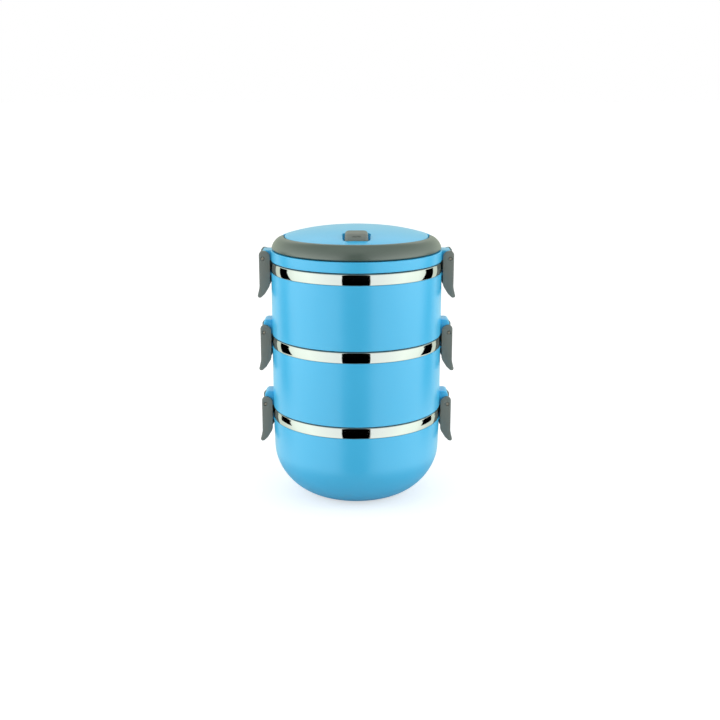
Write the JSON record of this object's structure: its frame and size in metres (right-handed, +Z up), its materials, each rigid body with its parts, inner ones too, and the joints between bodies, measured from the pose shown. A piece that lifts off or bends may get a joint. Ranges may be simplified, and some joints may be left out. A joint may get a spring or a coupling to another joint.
{
  "type": "tiffin carrier",
  "caption": "Stacking lunch carrier: steel bowls in plastic tiers under a domed lid with a folding bail handle and a vent knob, held together by side clips.",
  "frame": {"origin": "centre of the foot, on the surface that the carrier stands on", "axes": "+Z up through the stack, +X towards the right-hand clips, -Y towards the front, where the handle lies"},
  "size_m": [0.1674, 0.1452, 0.2359],
  "materials": {
    "blue_plastic": "satin, finely grained",
    "grey_plastic": "satin",
    "white_plastic": "smooth",
    "steel": "mirror polished outside, satin inside",
    "seal": "soft matte silicone"
  },
  "bodies": {
    "bottom_tier": {"bottom_shell": "blue_plastic", "bottom_bowl": "steel"},
    "middle_tier": {"middle_shell": "blue_plastic", "middle_bowl": "steel", "middle_seal": "seal", "middle_clip_pin_right": "steel", "middle_clip_pin_left": "steel"},
    "top_tier": {"top_shell": "blue_plastic", "top_bowl": "steel", "top_seal": "seal", "top_clip_pin_right": "steel", "top_clip_pin_left": "steel"},
    "lid": {"lid_shell": "blue_plastic", "lid_liner": "white_plastic", "lid_seal": "seal", "lid_clip_pin_right": "steel", "lid_clip_pin_left": "steel"},
    "handle": {"handle": "grey_plastic"},
    "vent": {"vent_knob": "grey_plastic", "vent_seal": "seal"},
    "middle_clip_right": {"middle_clip_right": "grey_plastic"},
    "middle_clip_left": {"middle_clip_left": "grey_plastic"},
    "top_clip_right": {"top_clip_right": "grey_plastic"},
    "top_clip_left": {"top_clip_left": "grey_plastic"},
    "lid_clip_right": {"lid_clip_right": "grey_plastic"},
    "lid_clip_left": {"lid_clip_left": "grey_plastic"}
  },
  "joints": [
    {"name": "middle_tier_lift", "type": "slide", "parent": "bottom_tier", "child": "middle_tier", "axis": [0, 0, 1], "range_m": [0, 0.06]},
    {"name": "top_tier_lift", "type": "slide", "parent": "middle_tier", "child": "top_tier", "axis": [0, 0, 1], "range_m": [0, 0.06]},
    {"name": "lid_lift", "type": "slide", "parent": "top_tier", "child": "lid", "axis": [0, 0, 1], "range_m": [0, 0.06]},
    {"name": "handle_fold", "type": "hinge", "parent": "lid", "child": "handle", "pos_m": [0, 0, 0.219], "axis": [-1, 0, 0], "range_deg": [0, 90]},
    {"name": "vent_pull", "type": "slide", "parent": "lid", "child": "vent", "axis": [0, 0, 1], "range_m": [0, 0.004]},
    {"name": "middle_clip_right_swing", "type": "hinge", "parent": "middle_tier", "child": "middle_clip_right", "pos_m": [0.079, 0, 0.0796], "axis": [0, -1, 0], "range_deg": [0, 110]},
    {"name": "middle_clip_left_swing", "type": "hinge", "parent": "middle_tier", "child": "middle_clip_left", "pos_m": [-0.079, 0, 0.0796], "axis": [0, 1, 0], "range_deg": [0, 110]},
    {"name": "top_clip_right_swing", "type": "hinge", "parent": "top_tier", "child": "top_clip_right", "pos_m": [0.079, 0, 0.1433], "axis": [0, -1, 0], "range_deg": [0, 110]},
    {"name": "top_clip_left_swing", "type": "hinge", "parent": "top_tier", "child": "top_clip_left", "pos_m": [-0.079, 0, 0.1433], "axis": [0, 1, 0], "range_deg": [0, 110]},
    {"name": "lid_clip_right_swing", "type": "hinge", "parent": "lid", "child": "lid_clip_right", "pos_m": [0.079, 0, 0.207], "axis": [0, -1, 0], "range_deg": [0, 110]},
    {"name": "lid_clip_left_swing", "type": "hinge", "parent": "lid", "child": "lid_clip_left", "pos_m": [-0.079, 0, 0.207], "axis": [0, 1, 0], "range_deg": [0, 110]}
  ]
}
